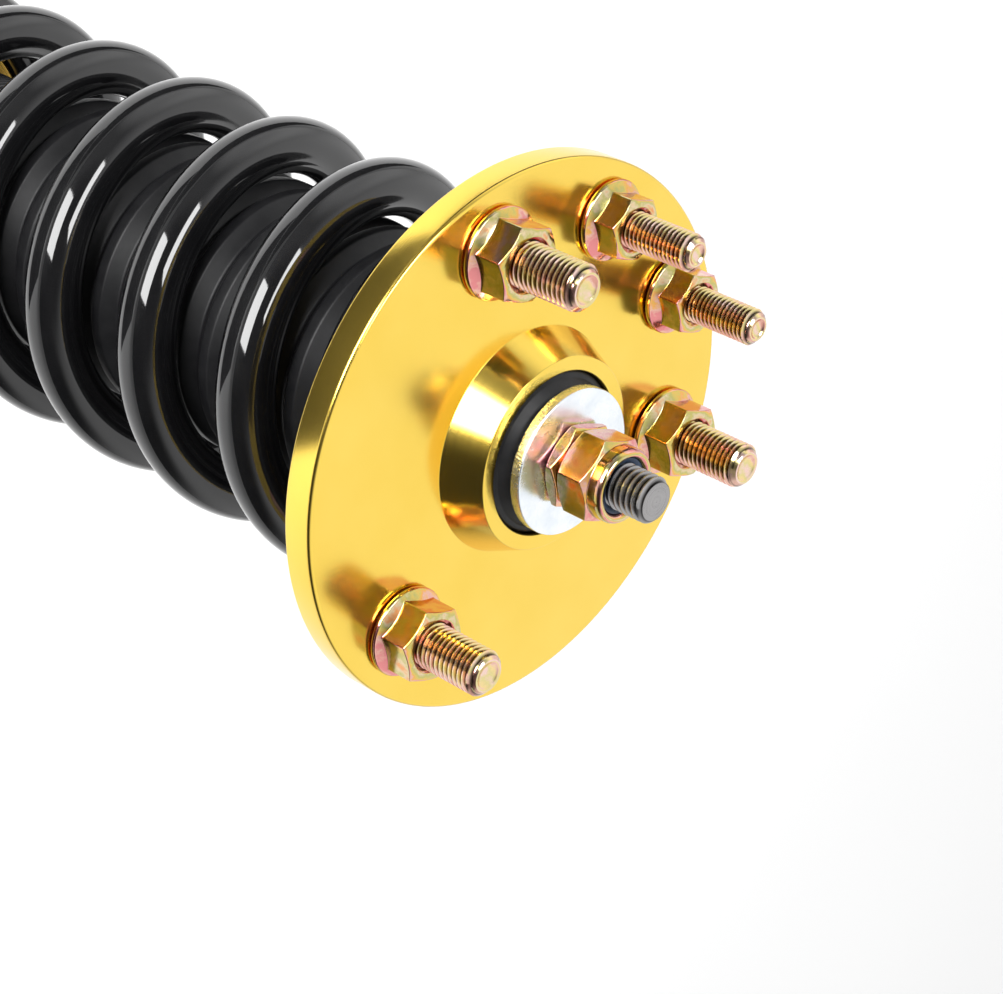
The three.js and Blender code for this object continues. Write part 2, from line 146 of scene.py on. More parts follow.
def new_mesh(name, vertices, faces, place=(0, 0, 0), sharp_angle=32, bevel=0):
    """An object made of points in millimetres, cleaned, facing out, and smooth up to its sharp edges."""
    work = bmesh.new()
    made = [work.verts.new((Vector(v) + Vector(place)) * MM) for v in vertices]
    for face in faces:
        corners = [made[i] for i in dict.fromkeys(face)]
        if len(corners) > 2:
            work.faces.new(corners)
    bmesh.ops.remove_doubles(work, verts=work.verts, dist=1e-7)
    bmesh.ops.dissolve_degenerate(work, edges=work.edges, dist=1e-7)
    bmesh.ops.holes_fill(work, edges=work.edges, sides=0)
    bmesh.ops.recalc_face_normals(work, faces=work.faces)
    mesh = bpy.data.meshes.new(name)
    work.to_mesh(mesh)
    work.free()
    mesh.shade_smooth()
    mesh.set_sharp_from_angle(angle=math.radians(sharp_angle))
    piece = bpy.data.objects.new(name, mesh)
    bpy.context.scene.collection.objects.link(piece)
    if bevel:
        edge = piece.modifiers.new("edges", "BEVEL")
        edge.width = bevel * MM
        edge.segments = 2
        edge.limit_method = "ANGLE"
        edge.angle_limit = math.radians(34)
        edge.harden_normals = True
    return piece


def circle(radius, z, segments):
    return [(radius * math.cos(TURN * j / segments), radius * math.sin(TURN * j / segments), z)
            for j in range(segments)]


def joined_rows(rows, closed):
    """Vertices and faces of a skin over rows of points that all go once round; a closed skin meets itself."""
    count = len(rows[0])
    vertices = [point for row in rows for point in row]
    faces = []
    for i in range(len(rows) if closed else len(rows) - 1):
        low, high = i * count, ((i + 1) % len(rows)) * count
        for j in range(count):
            after = (j + 1) % count
            faces.append((low + j, low + after, high + after, high + j))
    return vertices, faces


def turned(name, points, segments=ROUND, place=(0, 0, 0)):
    """A solid of revolution. An outline that starts off the axis closes on itself."""
    closed = points[0][0] > 0
    outline = rounded(points, closed)
    rows = [circle(max(r, 0), z, segments) for r, z in outline]
    return new_mesh(name, *joined_rows(rows, closed), place=place)


def hexagon_points(across_flats, edge):
    """Points round a hexagon whose six corners are rounded by edge."""
    corner = across_flats / math.sqrt(3)
    back = corner - edge / math.cos(math.pi / 6)
    points = []
    for i in range(6):
        middle = TURN * i / 6
        for step in range(-3, 4):
            angle = middle + step * math.pi / 18
            points.append((back * math.cos(middle) + edge * math.cos(angle),
                           back * math.sin(middle) + edge * math.sin(angle)))
        start = Vector(points[-1])
        turn_to_next = Matrix.Rotation(TURN / 6, 2)
        end = turn_to_next @ Vector(points[-7])
        points += [tuple(start.lerp(end, share / 6)) for share in range(1, 6)]
    return points


def along(points, height):
    """The hexagon's points at the height that height(radius) gives."""
    return [(x, y, height(math.hypot(x, y))) for x, y in points]


def circle_beside(points, radius, z):
    """A circle with its points at the same angles as the hexagon's."""
    row = []
    for x, y in points:
        scale = radius / math.hypot(x, y)
        row.append((x * scale, y * scale, z))
    return row


def screw(name, radius, pitch, low, high, tip, place=(0, 0, 0), segments=SMALL_ROUND, end_rows=(), twist=0.0):
    """A right-hand external thread. tip is how far the crest is turned down at both ends, at 45 degrees.
    end_rows are (radius, z) points that carry on over the top face to the axis."""
    depth = THREAD_DEPTH * pitch
    profile = [(0.0, radius - depth), (0.2, radius - depth), (0.5, radius), (0.68, radius)]
    turns = math.ceil((high - low) / pitch) + 2
    rows = []
    for k in range(len(profile) * turns + 1):
        share, crest = profile[k % len(profile)]
        row = []
        for j in range(segments + 1):
            angle = TURN * j / segments
            z = low + (k // len(profile) + share + j / segments - 1.5) * pitch
            z = min(max(z, low), high)
            limit = min(radius, radius - tip + (high - z), radius - tip + (z - low))
            reach = min(crest, limit)
            row.append((reach * math.cos(angle + twist), reach * math.sin(angle + twist), z))
        rows.append(row)
    count = segments + 1
    vertices = [point for row in rows for point in row]
    faces = []
    for k in range(len(rows) - 1):
        for j in range(segments):
            a = k * count + j
            faces.append((a, a + 1, a + count + 1, a + count))
    if end_rows:
        around = [(math.cos(TURN * j / segments + twist), math.sin(TURN * j / segments + twist))
                  for j in range(segments)]
        caps = [[(r * x, r * y, z) for x, y in around] for r, z in [(radius - tip, high), *end_rows]]
        cap_vertices, cap_faces = joined_rows(caps, False)
        start = len(vertices)
        vertices += cap_vertices
        faces += [tuple(i + start for i in face) for face in cap_faces]
    piece = new_mesh(name, vertices, faces, place=place, sharp_angle=40)
    mark_grooves(piece.data, place, radius, depth)
    return piece


def mark_grooves(mesh, place, radius, depth):
    """Stores how deep in the thread each point lies: 0 on the crest, 1 at the root. The materials darken the
    roots by it as painted shade.
    """
    groove = mesh.attributes.new("groove", "FLOAT", "POINT")
    for vertex, value in zip(mesh.vertices, groove.data):
        reach = math.hypot(vertex.co.x / MM - place[0], vertex.co.y / MM - place[1])
        share = (radius - reach) / depth
        value.value = share if 0 < share < 1.01 else 0.0


# ---- materials -----------------------------------------------------------------------------------


class Look:
    """A procedural material being built: its nodes, and the shader that they feed."""

    def __init__(self, name, colour, roughness, metallic=0.0, **shader):
        self.material = bpy.data.materials.new(name)
        self.material.use_nodes = True
        self.tree = self.material.node_tree
        self.shader = self.tree.nodes["Principled BSDF"]
        self.shader.inputs["Base Color"].default_value = (*colour, 1)
        self.shader.inputs["Roughness"].default_value = roughness
        self.shader.inputs["Metallic"].default_value = metallic
        for socket, value in shader.items():
            self.shader.inputs[socket.replace("_", " ")].default_value = value
        self.place = self.node("ShaderNodeTexCoord").outputs["Object"]

    def node(self, kind, settings=None, **inputs):
        """A new node, with its inputs given by name, or by number as i0, i1 and so on."""
        made = self.tree.nodes.new(kind)
        for key, value in (settings or {}).items():
            setattr(made, key, value)
        for key, value in inputs.items():
            numbered = key[0] == "i" and key[1:].isdigit()
            self.feed(made, int(key[1:]) if numbered else key, value)
        return made

    def feed(self, node, socket, value):
        if isinstance(value, bpy.types.NodeSocket):
            self.tree.links.new(value, node.inputs[socket])
        else:
            node.inputs[socket].default_value = value

    def math(self, operation, a, b=0.0):
        return self.node("ShaderNodeMath", {"operation": operation}, i0=a, i1=b).outputs[0]

    def scaled_place(self, scale):
        """The point's place with each axis stretched by its own number."""
        made = self.node("ShaderNodeVectorMath", {"operation": "MULTIPLY"}, i0=self.place, i1=scale)
        return made.outputs[0]

    def noise(self, scale, detail=3.0, roughness=0.5, stretch=None):
        """Cloudy noise whose features are about 1 / scale metres across."""
        source = self.scaled_place(stretch) if stretch else self.place
        inputs = {"Vector": source, "Scale": scale, "Detail": detail, "Roughness": roughness}
        return self.node("ShaderNodeTexNoise", None, **inputs).outputs["Fac"]

    def radius(self):
        """Distance from the damper's axis."""
        flat = self.scaled_place((1, 1, 0))
        return self.node("ShaderNodeVectorMath", {"operation": "LENGTH"}, i0=flat).outputs["Value"]

    def lathe_lines(self, per_metre, detail=2.0):
        """Fine turned lines round the damper's axis, on faces, cones and rims alike."""
        height = self.node("ShaderNodeSeparateXYZ", None, Vector=self.place).outputs["Z"]
        slant = 0.83
        across = self.math("ADD", self.radius(), self.math("MULTIPLY", height, slant))
        inputs = {"W": across, "Scale": per_metre, "Detail": detail}
        return self.node("ShaderNodeTexNoise", {"noise_dimensions": "1D"}, **inputs).outputs["Fac"]

    def ramp(self, source, *stops):
        """Colours or greys along source: stops are (position, colour or grey)."""
        made = self.node("ShaderNodeValToRGB", None, Fac=source)
        elements = made.color_ramp.elements
        while len(elements) < len(stops):
            elements.new(0.5)
        for element, (position, colour) in zip(elements, stops):
            element.position = position
            element.color = (*colour, 1) if isinstance(colour, tuple) else (colour, colour, colour, 1)
        return made.outputs["Color"]

    def between(self, source, low, high):
        """source stretched from 0..1 to low..high."""
        made = self.node("ShaderNodeMapRange", None, Value=source, i3=low, i4=high)
        return made.outputs["Result"]

    def mix(self, share, a, b, blend="MIX"):
        made = self.node("ShaderNodeMix", {"data_type": "RGBA", "blend_type": blend})
        self.feed(made, 0, share)
        self.feed(made, 6, a if isinstance(a, bpy.types.NodeSocket) else (*a, 1))
        self.feed(made, 7, b if isinstance(b, bpy.types.NodeSocket) else (*b, 1))
        return made.outputs[2]

    def side(self):
        """1 on faces that look sideways, 0 on faces that look up or down."""
        normal = self.node("ShaderNodeTexCoord").outputs["Normal"]
        upright = self.node("ShaderNodeSeparateXYZ", None, Vector=normal).outputs["Z"]
        return self.math("SUBTRACT", 1.0, self.math("ABSOLUTE", upright))

    def painted_groove_shade(self, source, dark):
        """The colour, darkened to that share at the root of a thread: painted shade in the thread's grooves.
        """
        depth = self.node("ShaderNodeAttribute", {"attribute_name": "groove"}).outputs["Fac"]
        level = self.ramp(depth, (0.35, 1.0), (0.95, dark))
        return self.mix(1.0, source, level, "MULTIPLY")

    def colour(self, source):
        self.feed(self.shader, "Base Color", source)
        return self

    def rough(self, source):
        self.feed(self.shader, "Roughness", source)
        return self

    def bump(self, *heights):
        """Bumps laid over each other: (height, strength, depth in millimetres)."""
        normal = None
        for height, strength, depth in heights:
            inputs = {"Height": height, "Strength": strength, "Distance": depth * MM}
            if normal:
                inputs["Normal"] = normal
            normal = self.node("ShaderNodeBump", None, **inputs).outputs["Normal"]
        self.feed(self.shader, "Normal", normal)
        return self


def gold_plate():
    look = Look("plate gold", (0.89, 0.62, 0.11), 0.2, 1.0)
    lines = look.lathe_lines(5200)
    cloud = look.noise(45, 4)
    look.colour(look.ramp(cloud, (0.3, (0.88, 0.61, 0.10)), (0.7, (0.91, 0.65, 0.125))))
    look.rough(look.between(look.mix(0.5, lines, cloud), 0.11, 0.24))
    on_the_side = look.between(look.side(), 0.14, 0.55)
    look.bump((lines, on_the_side, 0.012), (look.noise(900, 3), 0.05, 0.01))
    return look.material


def gold_collar():
    look = Look("collar gold", (0.85, 0.52, 0.10), 0.3, 1.0)
    lines = look.lathe_lines(3800)
    cloud = look.noise(60, 4)
    look.colour(look.ramp(cloud, (0.3, (0.82, 0.50, 0.09)), (0.7, (0.88, 0.57, 0.14))))
    look.rough(look.between(look.mix(0.5, lines, cloud), 0.2, 0.38))
    look.bump((lines, 0.25, 0.015), (look.noise(700, 3), 0.08, 0.01))
    return look.material


def tint_by_facing(look, *stops):
    """Plating whose film changes from face to face: a ramp over cloud and the direction a face points."""
    facing = look.node("ShaderNodeTexCoord").outputs["Normal"]
    across, turns, depth = (1.3, 2.1, 0.7), 1.9, 0.27
    along_it = look.node("ShaderNodeVectorMath", {"operation": "DOT_PRODUCT"}, i0=facing, i1=across)
    wave = look.math("SINE", look.math("MULTIPLY", along_it.outputs["Value"], turns))
    mixed = look.math("ADD", look.math("MULTIPLY", wave, depth), look.noise(230, 4, 0.6))
    return look.ramp(mixed, *stops)


def yellow_zinc():
    look = Look("yellow zinc", (0.75, 0.6, 0.35), 0.2, 1.0)
    film = tint_by_facing(look, (0.22, (0.74, 0.26, 0.26)), (0.36, (0.78, 0.46, 0.36)),
                          (0.46, (0.82, 0.42, 0.11)), (0.56, (0.70, 0.52, 0.14)),
                          (0.68, (0.52, 0.48, 0.17)), (0.80, (0.72, 0.58, 0.36)),
                          (0.92, (0.80, 0.36, 0.14)))
    look.colour(film)
    look.rough(look.between(look.noise(1100, 4, 0.7), 0.05, 0.24))
    look.bump((look.noise(1500, 3), 0.22, 0.02), (look.noise(260, 2), 0.14, 0.05))
    return look.material


def stud_plating():
    look = Look("coppery zinc", (0.72, 0.5, 0.4), 0.25, 1.0)
    film = tint_by_facing(look, (0.2, (0.68, 0.34, 0.27)), (0.38, (0.82, 0.53, 0.42)),
                          (0.50, (0.84, 0.64, 0.30)), (0.66, (0.72, 0.62, 0.28)),
                          (0.82, (0.84, 0.60, 0.52)))
    # the thread roots are darkened as painted shade, over the plating film's tints
    look.colour(look.painted_groove_shade(film, 0.16))
    look.rough(look.between(look.noise(900, 4, 0.7), 0.08, 0.28))
    look.bump((look.noise(1700, 3), 0.15, 0.02))
    return look.material


def bright_zinc():
    look = Look("bright zinc", (0.86, 0.9, 0.94), 0.25, 1.0)
    cloud = look.noise(220, 5, 0.6)
    look.colour(look.ramp(cloud, (0.35, (0.78, 0.83, 0.88)), (0.65, (0.90, 0.93, 0.96))))
    look.rough(look.between(cloud, 0.16, 0.36))
    torn = look.noise(1500, 3, 0.7, stretch=(1, 1, 0.25))
    look.bump((look.noise(1300, 4), 0.12, 0.02), (torn, look.between(look.side(), 0.0, 0.9), 0.25))
    return look.material


def machined_steel():
    light, dark = (0.42, 0.41, 0.41), (0.252, 0.246, 0.246)
    look = Look("machined steel", light, 0.3, 1.0)
    lines = look.lathe_lines(1700, 3)
    cloud = look.noise(300, 4)
    # the thread roots are darkened as painted shade, over the turned lines' tones
    look.colour(look.painted_groove_shade(look.mix(look.mix(0.5, lines, cloud), dark, light), 0.12))
    look.rough(look.between(look.mix(0.5, lines, cloud), 0.16, 0.40))
    look.bump((lines, 0.8, 0.05), (look.noise(1400, 3), 0.12, 0.02))
    return look.material


def hard_chrome():
    look = Look("hard chrome", (0.75, 0.76, 0.78), 0.06, 1.0)
    look.rough(look.between(look.noise(500, 3), 0.04, 0.1))
    look.bump((look.lathe_lines(6000), 0.04, 0.01))
    return look.material


def gloss_black():
    look = Look("gloss black powder coat", (0.005, 0.005, 0.0055), 0.06, 0.0,
                Coat_Weight=0.35, Coat_Roughness=0.03)
    peel = look.noise(420, 2, 0.4)
    look.colour(look.ramp(look.noise(90, 3), (0.3, (0.004, 0.004, 0.0045)), (0.7, (0.007, 0.007, 0.0075))))
    look.rough(look.between(peel, 0.04, 0.09))
    look.bump((peel, 0.06, 0.05))
    return look.material


def satin_black():
    look = Look("satin black", (0.012, 0.012, 0.013), 0.36, 0.0, Specular_IOR_Level=0.35)
    grain = look.noise(1600, 3, 0.6)
    look.colour(look.ramp(look.noise(60, 4), (0.3, (0.010, 0.010, 0.011)), (0.7, (0.015, 0.015, 0.0165))))
    look.rough(look.between(grain, 0.30, 0.42))
    look.bump((grain, 0.12, 0.03), (look.noise(120, 2), 0.05, 0.1))
    return look.material


def thread_black():
    look = Look("black anodised thread", (0.03, 0.03, 0.032), 0.3, 0.6)
    grain = look.noise(900, 3, 0.6)
    look.colour(look.ramp(look.noise(120, 4), (0.3, (0.024, 0.024, 0.026)), (0.7, (0.045, 0.045, 0.048))))
    look.rough(look.between(grain, 0.22, 0.4))
    look.bump((grain, 0.1, 0.02))
    return look.material


def black_rubber():
    look = Look("black rubber", (0.009, 0.009, 0.010), 0.45, 0.0, Specular_IOR_Level=0.3)
    grain = look.noise(1100, 4, 0.6)
    look.colour(look.ramp(look.noise(200, 4), (0.3, (0.006, 0.006, 0.007)), (0.7, (0.012, 0.012, 0.013))))
    look.rough(look.between(grain, 0.36, 0.56))
    look.bump((grain, 0.2, 0.03))
    return look.material


def seat_plastic():
    look = Look("blue-black plastic", (0.03, 0.032, 0.036), 0.7, 0.0)
    grain = look.noise(1400, 4, 0.7)
    look.colour(look.ramp(look.noise(150, 4), (0.3, (0.026, 0.028, 0.032)), (0.7, (0.038, 0.040, 0.045))))
    look.rough(look.between(grain, 0.55, 0.8))
    look.bump((grain, 0.3, 0.04))
    return look.material


def blue_nylon():
    look = Look("dark blue nylon", (0.012, 0.028, 0.065), 0.45, 0.0)
    grain = look.noise(2200, 4, 0.7)
    look.colour(look.ramp(grain, (0.35, (0.008, 0.018, 0.045)), (0.65, (0.02, 0.045, 0.09))))
    look.rough(look.between(grain, 0.35, 0.6))
    look.bump((grain, 0.6, 0.15))
    return look.material


def yellow_foam():
    look = Look("yellow foam", (0.62, 0.5, 0.12), 0.85, 0.0)
    cells = look.node("ShaderNodeTexVoronoi", None, Vector=look.place, Scale=1400).outputs["Distance"]
    look.colour(look.ramp(cells, (0.1, (0.45, 0.35, 0.08)), (0.5, (0.66, 0.54, 0.14))))
    look.rough(look.between(cells, 0.75, 0.95))
    look.bump((cells, 0.5, 0.2))
    return look.material


def pale_floor():
    look = Look("pale floor", (FLOOR_BRIGHTNESS,) * 3, 0.8, 0.0)
    tone = look.noise(3, 2)
    low, high = FLOOR_BRIGHTNESS - 0.01, FLOOR_BRIGHTNESS
    look.colour(look.ramp(tone, (0.3, low), (0.7, high)))
    look.rough(look.between(tone, 0.75, 0.85))
    return look.material


SLOT_LOOKS = {
    "plate_gold": gold_plate(),
    "collar_gold": gold_collar(),
    "yellow_zinc": yellow_zinc(),
    "stud_plating": stud_plating(),
    "bright_zinc": bright_zinc(),
    "plain_steel": machined_steel(),
    "rod_chrome": hard_chrome(),
    "spring_gloss_black": gloss_black(),
    "body_satin_black": satin_black(),
    "seat_black": seat_plastic(),
    "black_rubber": black_rubber(),
    "blue_nylon": blue_nylon(),
    "yellow_foam": yellow_foam(),
}
NODE_SLOT = {row["node"]: row["material_slot"] for row in frame["record"]["subparts"]}
NODE_BODY = {node: body for body, nodes in frame["record"]["behaviour"]["bodies"].items() for node in nodes}


def stand_for(piece, node, material=None):
    """The piece rides with the node's body, takes its finish, and is shown in its place."""
    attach(piece, NODE_BODY[node])
    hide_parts(node)
    piece.data.materials.append(material or SLOT_LOOKS[NODE_SLOT[node]])
    return piece


# ---- top mount -----------------------------------------------------------------------------------


def make_plate():
    """The gold plate: disc, boss and register turned in one, with a pocket below for each stud's head."""
    plate = Size("top_plate")
    thick = 7.0
    under = -thick
    boss_foot, boss_top, bore, lip = 24.7, 21.0, 17.8, 14.6
    ledge = under + 2
    register_outer, register_inner = 31.2, 27.5
    piece = turned("top_plate_finished", [
        (lip, under, 0.3), (register_inner, under, 0.3), (register_inner, plate.low, 0.4),
        (register_outer, plate.low, 1.0), (register_outer, under, 0.4),
        (plate.radius, under, 0.6), (plate.radius, 0, 0.9),
        (boss_foot, 0, 0.15), (boss_top, plate.high, 0.35), (bore, plate.high, 0.4),
        (bore, ledge, 0.2), (lip, ledge, 0.2),
    ], segments=256)
    gap = 0.2
    pocket_top = under + STUD_HEAD + gap
    for i, size in enumerate(stud_sizes()):
        head, shank = size.radius + gap, size.thread + gap
        pocket = turned(f"pocket_{i + 1}", [
            (0, under - 1), (head, under - 1), (head, pocket_top), (shank, pocket_top), (shank, 1), (0, 1),
        ], segments=SMALL_ROUND, place=(size.x, size.y, 0))
        cutter = piece.modifiers.new(pocket.name, "BOOLEAN")
        cutter.object = pocket
        cutter.solver = "EXACT"
        apply_modifiers(piece)
        bpy.data.objects.remove(pocket)
    piece.data.set_sharp_from_angle(angle=math.radians(32))
    return stand_for(piece, "top_plate")


def apply_modifiers(piece):
    """Bakes the modifiers into the mesh."""
    graph = bpy.context.evaluated_depsgraph_get()
    mesh = bpy.data.meshes.new_from_object(piece.evaluated_get(graph))
    piece.modifiers.clear()
    piece.data = mesh


def stud_sizes():
    """Each stud's head radius, heights and place, with the thread radius and pitch that go with it."""
    sizes = []
    for i in range(1, 6):
        size = Size(f"stud_{i}")
        large = size.radius > 6
        size.thread = 4.95 if large else 3.95
        size.pitch = M10_PITCH if large else M8_PITCH
        size.across_flats = 15 if large else 12.5
        sizes.append(size)
    return sizes


def make_studs():
    """Threaded studs with a dished end and a round head."""
    tip = 1.35
    dish = [(0.93, 0.02), (0.84, -0.06), (0.78, -0.25), (0.6, -0.6), (0.35, -0.85), (0, -0.95)]
    turn_to_next = 0.9
    for i, size in enumerate(stud_sizes()):
        place = (size.x, size.y, 0)
        face = size.thread - tip
        end_rows = [(face * share, size.high + rise) for share, rise in dish]
        shaft = screw(f"stud_thread_{i + 1}", size.thread, size.pitch, STUD_ROOT, size.high, tip, place,
                      end_rows=end_rows, twist=turn_to_next * i)
        stand_for(shaft, f"stud_{i + 1}")
        head_top = size.low + STUD_HEAD
        head = turned(f"stud_head_{i + 1}", [
            (0, size.low), (size.radius, size.low, 0.4), (size.radius, head_top, 0.4), (0, head_top),
        ], segments=SMALL_ROUND, place=place)
        stand_for(head, f"stud_{i + 1}")


def make_flange_nuts():
    """A hexagon on a wide flange, with its top corners turned off and a lead-in at the bore."""
    for i, stud in enumerate(stud_sizes()):
        nut = Size(f"flange_nut_{i + 1}")
        outline = hexagon_points(stud.across_flats, NUT_EDGE)
        rim = nut.radius
        bore = stud.thread + 0.15
        crown = stud.across_flats / 2 - 0.25
        rim_top, slope, chamfer = 1.2, 0.7, 0.6
        under = [(bore + 0.5, nut.low), (rim - 1.1, nut.low), (rim - 0.8, nut.low + 0.15),
                 (rim - 0.15, nut.low + 0.3), (rim, nut.low + 0.6), (rim, rim_top),
                 (rim - 0.15, rim_top + 0.3), (rim - 0.5, rim_top + 0.45)]
        over = [(crown, nut.high), (bore + 0.8, nut.high), (bore, nut.high - 0.7), (bore, nut.low + 0.5)]
        rows = [circle_beside(outline, *point) for point in under]
        rows.append(along(outline, lambda r: rim_top + 0.45 + (rim - 0.5 - r) * slope))
        rows.append(along(outline, lambda r: nut.high - max(0.0, r - crown) * chamfer))
        rows += [circle_beside(outline, *point) for point in over]
        piece = new_mesh(f"flange_nut_{i + 1}_finished", *joined_rows(rows, True),
                         place=(nut.x, nut.y, 0), bevel=0.14)
        stand_for(piece, f"flange_nut_{i + 1}")


def make_bush():
    """The rubber ring: a neck below its shoulder, and a rolled lip above."""
    bush = Size("mount_bush")
    bore, neck, lip = 8.2, 14.4, 13.4
    shoulder, lip_foot = -4.8, 7.6
    piece = turned("mount_bush_finished", [
        (bore, bush.low, 0.5), (neck, bush.low, 0.5), (neck, shoulder, 0.3), (bush.radius, shoulder, 0.3),
        (bush.radius, lip_foot, 0.8), (16.2, 7.9, 0.6), (14.6, 9.6, 0.8),
        (lip, bush.high, 0.5), (bore, bush.high, 0.3),
    ])
    stand_for(piece, "mount_bush")


def make_isolators():
    for node in ("upper_isolator", "lower_isolator"):
        seat = Size(node)
        inner = 31.7
        piece = turned(f"{node}_finished", [
            (inner, seat.low, 0.8), (seat.radius, seat.low, 1.2), (seat.radius, seat.high, 1.2),
            (inner, seat.high, 0.8),
        ])
        stand_for(piece, node)


# ---- spring and boot -----------------------------------------------------------------------------

WIRE = 6.25                         # radius of the wire
COIL_TURNS = 7.8
CLOSED_TURNS = 0.98
CLOSED_PITCH = 12.5
TIP_ANGLE = math.radians(90.5)


def eased(turn, start, ease=0.25):
    """max(turn - start, 0) with its corner rounded over ease turns either side."""
    offset = turn - start
    if offset <= -ease:
        return 0.0
    if offset >= ease:
        return offset
    return (offset + ease) ** 2 / (4 * ease)


def make_spring():
    """The coil: close end turns ground flat, and evenly open turns between them."""
    spring = Size("spring")
    mean = spring.radius - WIRE
    first = spring.high + WIRE / 2
    drop = spring.high - spring.low + WIRE
    extra_pitch = (drop - COIL_TURNS * CLOSED_PITCH) / (COIL_TURNS - 2 * CLOSED_TURNS)
    sides, steps_a_turn = 40, 110
    steps = round(COIL_TURNS * steps_a_turn)
    section = [(math.cos(TURN * s / sides), math.sin(TURN * s / sides)) for s in range(sides)]

    def height(turn):
        opened = eased(turn, CLOSED_TURNS) - eased(turn, COIL_TURNS - CLOSED_TURNS)
        return first - CLOSED_PITCH * turn - extra_pitch * opened

    rings = []
    for step in range(steps + 1):
        turn = COIL_TURNS * step / steps
        angle = TIP_ANGLE - turn * TURN
        outward = Vector((math.cos(angle), math.sin(angle), 0))
        small = 0.001
        slope = (height(turn + small) - height(turn - small)) / (2 * small)
        forward = Vector((math.sin(angle) * mean * TURN, -math.cos(angle) * mean * TURN, slope)).normalized()
        across = forward.cross(outward)
        centre = outward * mean + Vector((0, 0, height(turn)))
        rings.append([centre + (outward * out + across * aside) * WIRE for out, aside in section])
    piece = new_mesh("spring_finished", *joined_rows(rings, False), sharp_angle=50)
    for z, facing in ((spring.high, 1), (spring.low, -1)):
        grind_flat(piece, z, facing)
    piece.data.set_sharp_from_angle(angle=math.radians(50))
    stand_for(piece, "spring")
    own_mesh(piece)


def grind_flat(piece, z, facing):
    """Takes away what stands past that height, and closes the flat face."""
    work = bmesh.new()
    work.from_mesh(piece.data)
    everything = work.verts[:] + work.edges[:] + work.faces[:]
    cut = bmesh.ops.bisect_plane(work, geom=everything, plane_co=(0, 0, z * MM), plane_no=(0, 0, facing),
                                 clear_outer=True)
    rim = [item for item in cut["geom_cut"] if isinstance(item, bmesh.types.BMEdge)]
    bmesh.ops.holes_fill(work, edges=rim, sides=0)
    bmesh.ops.recalc_face_normals(work, faces=work.faces)
    work.to_mesh(piece.data)
    work.free()


def make_boot():
    """Bellows with close, round folds between a plain collar at the top and a cuff at the bottom."""
    boot = Size("dust_boot")
    fold_depth, fold_round = 3.0, 0.9
    valley, crest = boot.radius - fold_depth, boot.radius
    folds, cuff, wall = 14, 8.0, 0.9
    fold = (boot.high - boot.low - 2 * cuff) / folds
    outer = [(valley, boot.low, 0.3), (valley, boot.low + cuff, 0.6)]
    for i in range(folds):
        start = boot.low + cuff + i * fold
        outer += [(crest, start + fold * 0.35, fold_round), (crest, start + fold * 0.65, fold_round),
                  (valley, start + fold, fold_round)]
    outer += [(valley, boot.high, 0.3)]
    inner = [(r - wall, z, *rest) for r, z, *rest in reversed(outer)]
    piece = turned("dust_boot_finished", outer + inner, segments=96)
    stand_for(piece, "dust_boot")
    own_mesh(piece)


# ---- rod, washer and nuts ------------------------------------------------------------------------


def make_rod():
    rod = Size("piston_rod")
    thread = 4.95
    tip = 0.8
    face = thread - tip
    thread_low = 10.0
    top = screw("rod_thread", thread, ROD_PITCH, thread_low, rod.high, tip,
                end_rows=[(face * 0.93, rod.high + 0.02), (face * 0.5, rod.high), (0, rod.high)])
    stand_for(top, "piston_rod", SLOT_LOOKS["plain_steel"])
    shoulder, piston_z = -12.4, -194
    full, reduced, shaft_top = 6.25, 5, thread_low + 0.3
    shaft = turned("rod_shaft", [
        (0, rod.low), (reduced, rod.low, 0.5), (reduced, piston_z, 0.1), (full, piston_z, 0.4),
        (full, shoulder, 0.5), (reduced, shoulder, 0.1), (reduced, shaft_top), (0, shaft_top),
    ], segments=SMALL_ROUND)
    stand_for(shaft, "piston_rod")


def make_washer():
    washer = Size("centre_washer")
    bore = 5.4
    piece = turned("centre_washer_finished", [
        (bore, washer.low, 0.2), (washer.radius, washer.low, 0.35), (washer.radius, washer.high, 0.35),
        (bore, washer.high, 0.2),
    ], segments=192)
    stand_for(piece, "centre_washer")


def make_rod_nuts():
    """A thin jam nut, and a lock nut whose round collar is rolled over a nylon ring."""
    jam = Size("jam_nut")
    across_flats = 17.0
    crown = across_flats / 2 - 0.3
    bore = 5.2
    outline = hexagon_points(across_flats, NUT_EDGE)
    rows = [
        circle_beside(outline, bore, jam.low), circle_beside(outline, crown, jam.low),
        along(outline, lambda r: jam.low + max(0.0, r - crown) * NUT_CHAMFER),
        along(outline, lambda r: jam.high - max(0.0, r - crown) * NUT_CHAMFER),
        circle_beside(outline, crown, jam.high), circle_beside(outline, bore, jam.high),
    ]
    stand_for(new_mesh("jam_nut_finished", *joined_rows(rows, True), bevel=0.2), "jam_nut")

    nut = Size("lock_nut")
    hex_top, top_chamfer = 24.6, 0.62
    collar, lip = 8.1, 6.1
    roll, roll_height, roll_steps = (collar - lip) / 2, 1.5, 10
    rows = [
        circle_beside(outline, bore, nut.low), circle_beside(outline, crown, nut.low),
        along(outline, lambda r: nut.low + max(0.0, r - crown) * NUT_CHAMFER),
        along(outline, lambda r: hex_top - max(0.0, r - collar) * top_chamfer),
        circle_beside(outline, collar, hex_top), circle_beside(outline, collar, nut.high - roll_height),
    ]
    for step in range(1, roll_steps + 1):
        angle = math.pi * step / roll_steps
        rows.append(circle_beside(outline, collar - roll + roll * math.cos(angle),
                                  nut.high - roll_height + roll_height * math.sin(angle)))
    rows += [circle_beside(outline, lip, hex_top + 0.4), circle_beside(outline, bore, hex_top + 0.2)]
    stand_for(new_mesh("lock_nut_finished", *joined_rows(rows, True), bevel=0.12), "lock_nut")

    insert = Size("lock_nut_insert")
    inner, outer = 4.9, 6.05
    piece = turned("lock_nut_insert_finished", [
        (inner, insert.low, 0.2), (outer, insert.low, 0.2), (outer, insert.high, 0.2),
        (inner, insert.high - 0.5, 0.3),
    ], segments=SMALL_ROUND)
    stand_for(piece, "lock_nut_insert")


